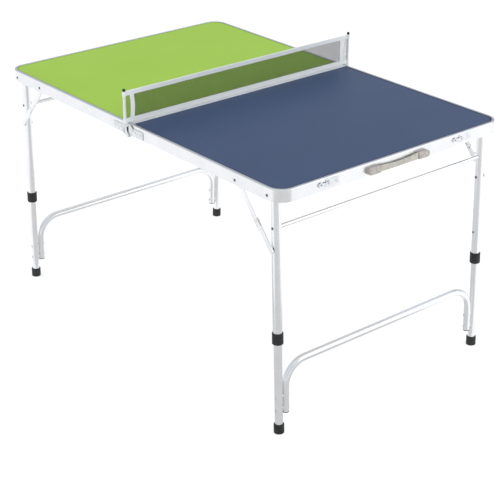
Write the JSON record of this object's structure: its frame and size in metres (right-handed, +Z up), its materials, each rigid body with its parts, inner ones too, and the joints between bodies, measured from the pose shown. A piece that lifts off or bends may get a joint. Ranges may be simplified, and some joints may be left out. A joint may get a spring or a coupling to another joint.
{
  "type": "folding table tennis table",
  "caption": "Folding table-tennis table: blue and green boards in an aluminium rim, braced folding leg frames with sliding lower legs, carry handles, hook latches and a lift-off net.",
  "frame": {"origin": "on the floor under the middle of the open table", "axes": "+X along the table to the end with the latches, +Y across it, +Z up; the net stands in the plane x = 0"},
  "size_m": [1.274, 0.834, 0.7988],
  "materials": {
    "board_blue": "blue melamine face on fibreboard, satin",
    "board_green": "green melamine face on fibreboard, satin",
    "satin_aluminium": "satin anodised",
    "zinc_steel": "zinc plated",
    "black_plastic": "fine texture",
    "white_plastic": "satin",
    "handle_grip": "soft moulded",
    "handle_caps": "moulded",
    "net_tape": "woven tape",
    "net_mesh": "open knitted mesh",
    "post_metal": "light grey enamel"
  },
  "bodies": {
    "blue_half": {"blue_panel": "board_blue", "blue_rim": "satin_aluminium", "blue_centre_rail": "satin_aluminium", "blue_leg_brackets": "zinc_steel", "blue_rivets": "zinc_steel", "blue_hinge_leaves": "zinc_steel", "blue_handle_caps": "handle_caps", "latch_plates": "zinc_steel", "hinge_pins": "zinc_steel", "net_sockets": "white_plastic"},
    "green_half": {"green_panel": "board_green", "green_rim": "satin_aluminium", "green_centre_rail": "satin_aluminium", "green_leg_brackets": "zinc_steel", "green_rivets": "zinc_steel", "green_hinge_leaves": "zinc_steel", "green_handle_caps": "handle_caps", "latch_catches": "zinc_steel"},
    "blue_leg_frame": {"blue_upper_front_leg": "satin_aluminium", "blue_upper_back_leg": "satin_aluminium", "blue_cross_rod": "satin_aluminium", "blue_collars": "black_plastic", "blue_leg_plugs": "black_plastic", "blue_leg_screws": "zinc_steel"},
    "blue_lower_frame": {"blue_lower_front_leg": "satin_aluminium", "blue_lower_back_leg": "satin_aluminium", "blue_arch": "satin_aluminium", "blue_arch_plugs": "black_plastic", "blue_feet": "black_plastic", "blue_arch_bolts": "zinc_steel"},
    "blue_upper_links": {"blue_brace_upper": "satin_aluminium"},
    "blue_lower_links": {"blue_brace_lower": "satin_aluminium"},
    "blue_handle": {"blue_handle_grip": "handle_grip"},
    "blue_front_snap": {"blue_front_button": "zinc_steel"},
    "blue_back_snap": {"blue_back_button": "zinc_steel"},
    "green_leg_frame": {"green_upper_front_leg": "satin_aluminium", "green_upper_back_leg": "satin_aluminium", "green_cross_rod": "satin_aluminium", "green_collars": "black_plastic", "green_leg_plugs": "black_plastic", "green_leg_screws": "zinc_steel"},
    "green_lower_frame": {"green_lower_front_leg": "satin_aluminium", "green_lower_back_leg": "satin_aluminium", "green_arch": "satin_aluminium", "green_arch_plugs": "black_plastic", "green_feet": "black_plastic", "green_arch_bolts": "zinc_steel"},
    "green_upper_links": {"green_brace_upper": "satin_aluminium"},
    "green_lower_links": {"green_brace_lower": "satin_aluminium"},
    "green_handle": {"green_handle_grip": "handle_grip"},
    "green_front_snap": {"green_front_button": "zinc_steel"},
    "green_back_snap": {"green_back_button": "zinc_steel"},
    "front_latch": {"front_latch_hook": "zinc_steel"},
    "back_latch": {"back_latch_hook": "zinc_steel"},
    "net": {"net_posts": "post_metal", "net_caps": "black_plastic", "net_mesh": "net_mesh", "net_top_tape": "net_tape", "net_bottom_tape": "net_tape", "net_side_bands": "net_tape"}
  },
  "joints": [
    {"name": "half_fold", "type": "hinge", "parent": "blue_half", "child": "green_half", "pos_m": [0, 0, 0.666], "axis": [0, -1, 0], "range_deg": [0, 75]},
    {"name": "blue_leg_fold", "type": "hinge", "parent": "blue_half", "child": "blue_leg_frame", "pos_m": [0.57922, 0, 0.67855], "axis": [0, 1, 0], "range_deg": [0, 91.86]},
    {"name": "blue_leg_slide", "type": "slide", "parent": "blue_leg_frame", "child": "blue_lower_frame", "axis": [-0.0324, 0, 0.9995], "range_m": [0, 0.1181]},
    {"name": "blue_brace_swing", "type": "hinge", "parent": "blue_half", "child": "blue_upper_links", "pos_m": [0.4553, 0, 0.67855], "axis": [0, 1, 0], "range_deg": [0, 130.35]},
    {"name": "blue_elbow", "type": "hinge", "parent": "blue_upper_links", "child": "blue_lower_links", "pos_m": [0.5288, 0, 0.59188], "axis": [0, 1, 0], "range_deg": [-180.05, 0]},
    {"name": "blue_handle_swing", "type": "hinge", "parent": "blue_half", "child": "blue_handle", "pos_m": [0.631, 0, 0.6845], "axis": [0, -1, 0], "range_deg": [0, 90]},
    {"name": "blue_front_press", "type": "slide", "parent": "blue_leg_frame", "child": "blue_front_snap", "axis": [0, -1, 0], "range_m": [0, 0.0025], "stiffness_N_per_m": 1500},
    {"name": "blue_back_press", "type": "slide", "parent": "blue_leg_frame", "child": "blue_back_snap", "axis": [0, 1, 0], "range_m": [0, 0.0025], "stiffness_N_per_m": 1500},
    {"name": "green_leg_fold", "type": "hinge", "parent": "green_half", "child": "green_leg_frame", "pos_m": [-0.57922, 0, 0.67855], "axis": [0, -1, 0], "range_deg": [0, 91.86]},
    {"name": "green_leg_slide", "type": "slide", "parent": "green_leg_frame", "child": "green_lower_frame", "axis": [0.0324, 0, 0.9995], "range_m": [0, 0.1181]},
    {"name": "green_brace_swing", "type": "hinge", "parent": "green_half", "child": "green_upper_links", "pos_m": [-0.4553, 0, 0.67855], "axis": [0, -1, 0], "range_deg": [0, 130.35]},
    {"name": "green_elbow", "type": "hinge", "parent": "green_upper_links", "child": "green_lower_links", "pos_m": [-0.5288, 0, 0.59188], "axis": [0, -1, 0], "range_deg": [-180.05, 0]},
    {"name": "green_handle_swing", "type": "hinge", "parent": "green_half", "child": "green_handle", "pos_m": [-0.631, 0, 0.6845], "axis": [0, 1, 0], "range_deg": [0, 90]},
    {"name": "green_front_press", "type": "slide", "parent": "green_leg_frame", "child": "green_front_snap", "axis": [0, -1, 0], "range_m": [0, 0.0025], "stiffness_N_per_m": 1500},
    {"name": "green_back_press", "type": "slide", "parent": "green_leg_frame", "child": "green_back_snap", "axis": [0, 1, 0], "range_m": [0, 0.0025], "stiffness_N_per_m": 1500},
    {"name": "front_latch_turn", "type": "hinge", "parent": "blue_half", "child": "front_latch", "pos_m": [0.6279, -0.24, 0.684], "axis": [1, 0, 0], "range_deg": [0, 90]},
    {"name": "back_latch_turn", "type": "hinge", "parent": "blue_half", "child": "back_latch", "pos_m": [0.6279, 0.24, 0.684], "axis": [1, 0, 0], "range_deg": [0, 90]},
    {"name": "net_lift", "type": "slide", "parent": "blue_half", "child": "net", "axis": [0, 0, 1], "range_m": [0, 0.06]}
  ],
  "couplings": [
    {"joint": "blue_leg_slide", "follows": "blue_leg_fold", "m_per_rad": 0.073604},
    {"joint": "blue_brace_swing", "follows": "blue_leg_fold", "ratio": 1.4186},
    {"joint": "blue_elbow", "follows": "blue_leg_fold", "ratio": -1.9596},
    {"joint": "green_leg_slide", "follows": "green_leg_fold", "m_per_rad": 0.073604},
    {"joint": "green_brace_swing", "follows": "green_leg_fold", "ratio": 1.4186},
    {"joint": "green_elbow", "follows": "green_leg_fold", "ratio": -1.9596}
  ]
}
